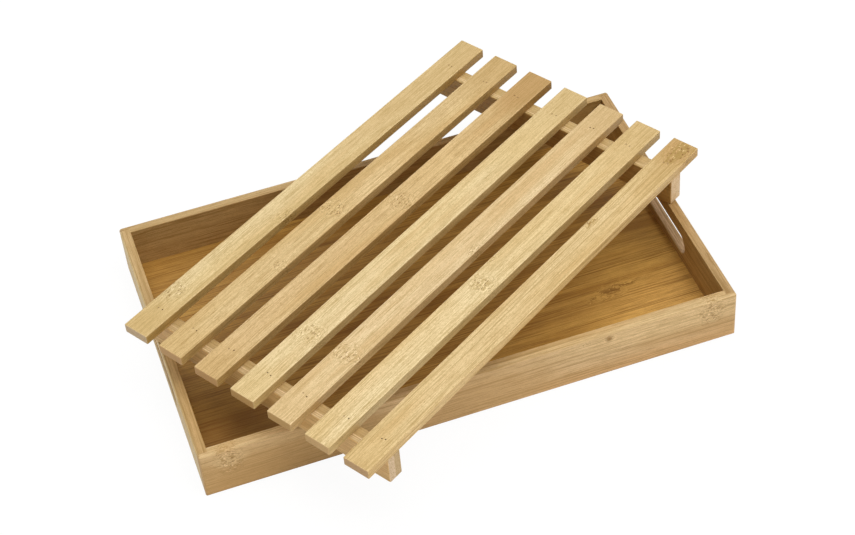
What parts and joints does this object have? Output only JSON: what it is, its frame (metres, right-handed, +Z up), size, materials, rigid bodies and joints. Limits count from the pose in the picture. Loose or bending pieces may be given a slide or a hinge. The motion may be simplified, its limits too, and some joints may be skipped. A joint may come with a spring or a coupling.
{
  "type": "bread board",
  "caption": "Bamboo bread board: a shallow crumb tray with grip slots, and a loose slatted cutting grid lying turned across its rim.",
  "frame": {"origin": "the middle of the tray's underside, on the surface that it stands on", "axes": "+X along the tray towards the right end wall, +Y towards the back wall, +Z up out of the tray; the slats run at 31.8 degrees from +X towards +Y"},
  "size_m": [0.4652, 0.4124, 0.0755],
  "materials": {
    "slat_bamboo": "planed and lightly oiled bamboo with lengthwise fibre lines and node marks",
    "wall_bamboo": "sanded bamboo, fibre lines along each wall",
    "floor_bamboo": "sanded bamboo veneer, golden brown, fibre lines along the tray",
    "rail_bamboo": "sanded bamboo glued up from two layers",
    "pin_steel": "dull steel wire"
  },
  "bodies": {
    "tray": {"front_wall": "wall_bamboo", "back_wall": "wall_bamboo", "left_end_wall": "wall_bamboo", "right_end_wall": "wall_bamboo", "floor_panel": "floor_bamboo"},
    "grid": {"slat_1": "slat_bamboo", "slat_2": "slat_bamboo", "slat_3": "slat_bamboo", "slat_4": "slat_bamboo", "slat_5": "slat_bamboo", "slat_6": "slat_bamboo", "slat_7": "slat_bamboo", "left_rail": "rail_bamboo", "right_rail": "rail_bamboo", "left_rail_pins": "pin_steel", "right_rail_pins": "pin_steel"}
  },
  "joints": [
    {"name": "grid_lift", "type": "slide", "parent": "tray", "child": "grid", "axis": [0, 0, 1], "range_m": [0, 0.12]}
  ]
}
